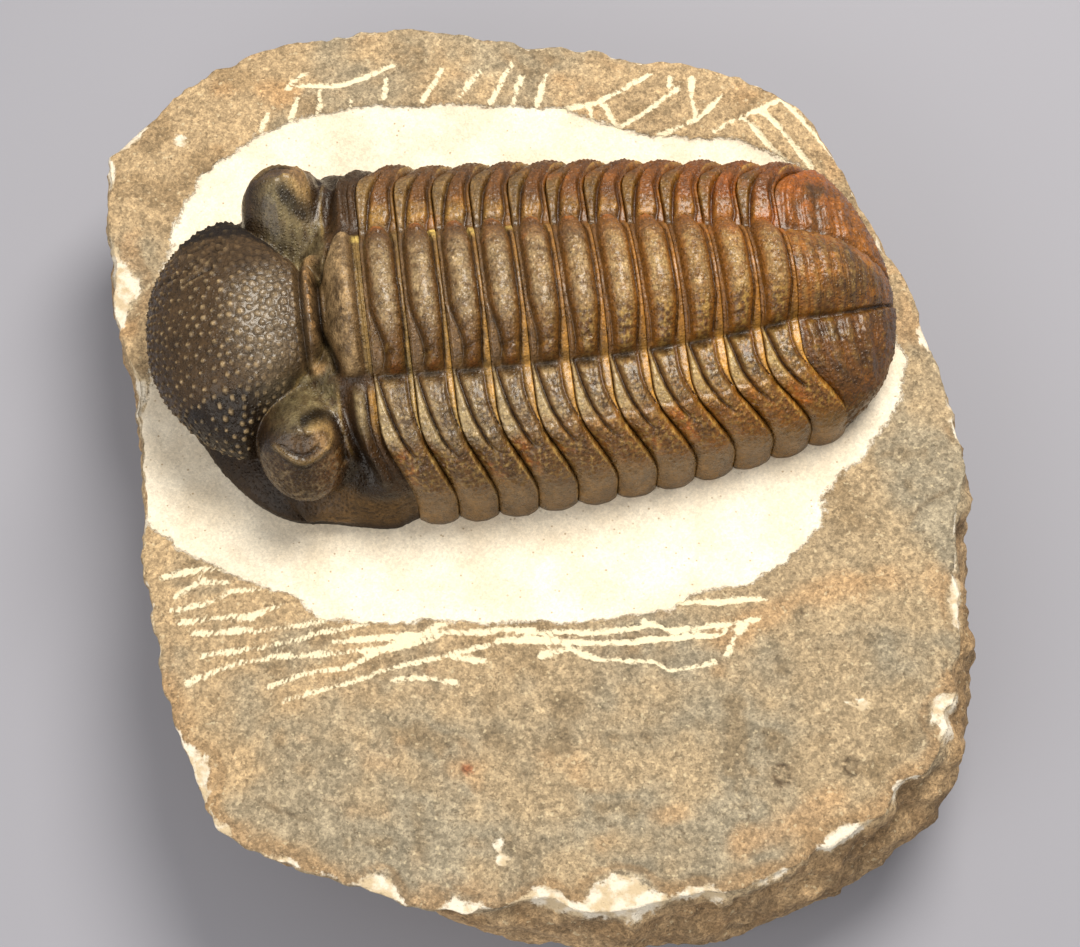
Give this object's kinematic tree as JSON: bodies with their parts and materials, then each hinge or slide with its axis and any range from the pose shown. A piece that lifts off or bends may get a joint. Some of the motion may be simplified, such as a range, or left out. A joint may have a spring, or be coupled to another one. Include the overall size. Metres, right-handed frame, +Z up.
{
  "type": "trilobite fossil on matrix",
  "caption": "Enrollable trilobite with a knobbly domed head, turreted eyes, a ringed and ribbed thorax and a rounded tail, prepared in relief on a broken slab of limestone.",
  "frame": {"origin": "centre of the slab's bounding box, on the flat base that it rests on", "axes": "+Z up out of the slab's top; the fossil lies along X with its head toward -X and its tail toward +X, and the wide bare part of the slab is toward -Y"},
  "size_m": [0.1353, 0.1478, 0.0534],
  "materials": {
    "limestone": "rough tan limestone, cream where it was air-abraded round the fossil and chipped at the rim",
    "cephalon_calcite": "near-black calcite with a soft oiled sheen and paler tubercles",
    "thorax_calcite": "dark brown to amber calcite, glossy, honey-coloured along the joints",
    "pygidium_calcite": "amber to rust-brown calcite, glossy"
  },
  "bodies": {
    "root": {"matrix": "limestone", "cephalon": "cephalon_calcite", "thoracic_segment_01": "thorax_calcite", "thoracic_segment_02": "thorax_calcite", "thoracic_segment_03": "thorax_calcite", "thoracic_segment_04": "thorax_calcite", "thoracic_segment_05": "thorax_calcite", "thoracic_segment_06": "thorax_calcite", "thoracic_segment_07": "thorax_calcite", "thoracic_segment_08": "thorax_calcite", "thoracic_segment_09": "thorax_calcite", "thoracic_segment_10": "thorax_calcite", "thoracic_segment_11": "thorax_calcite", "pygidium": "pygidium_calcite"}
  },
  "joints": []
}
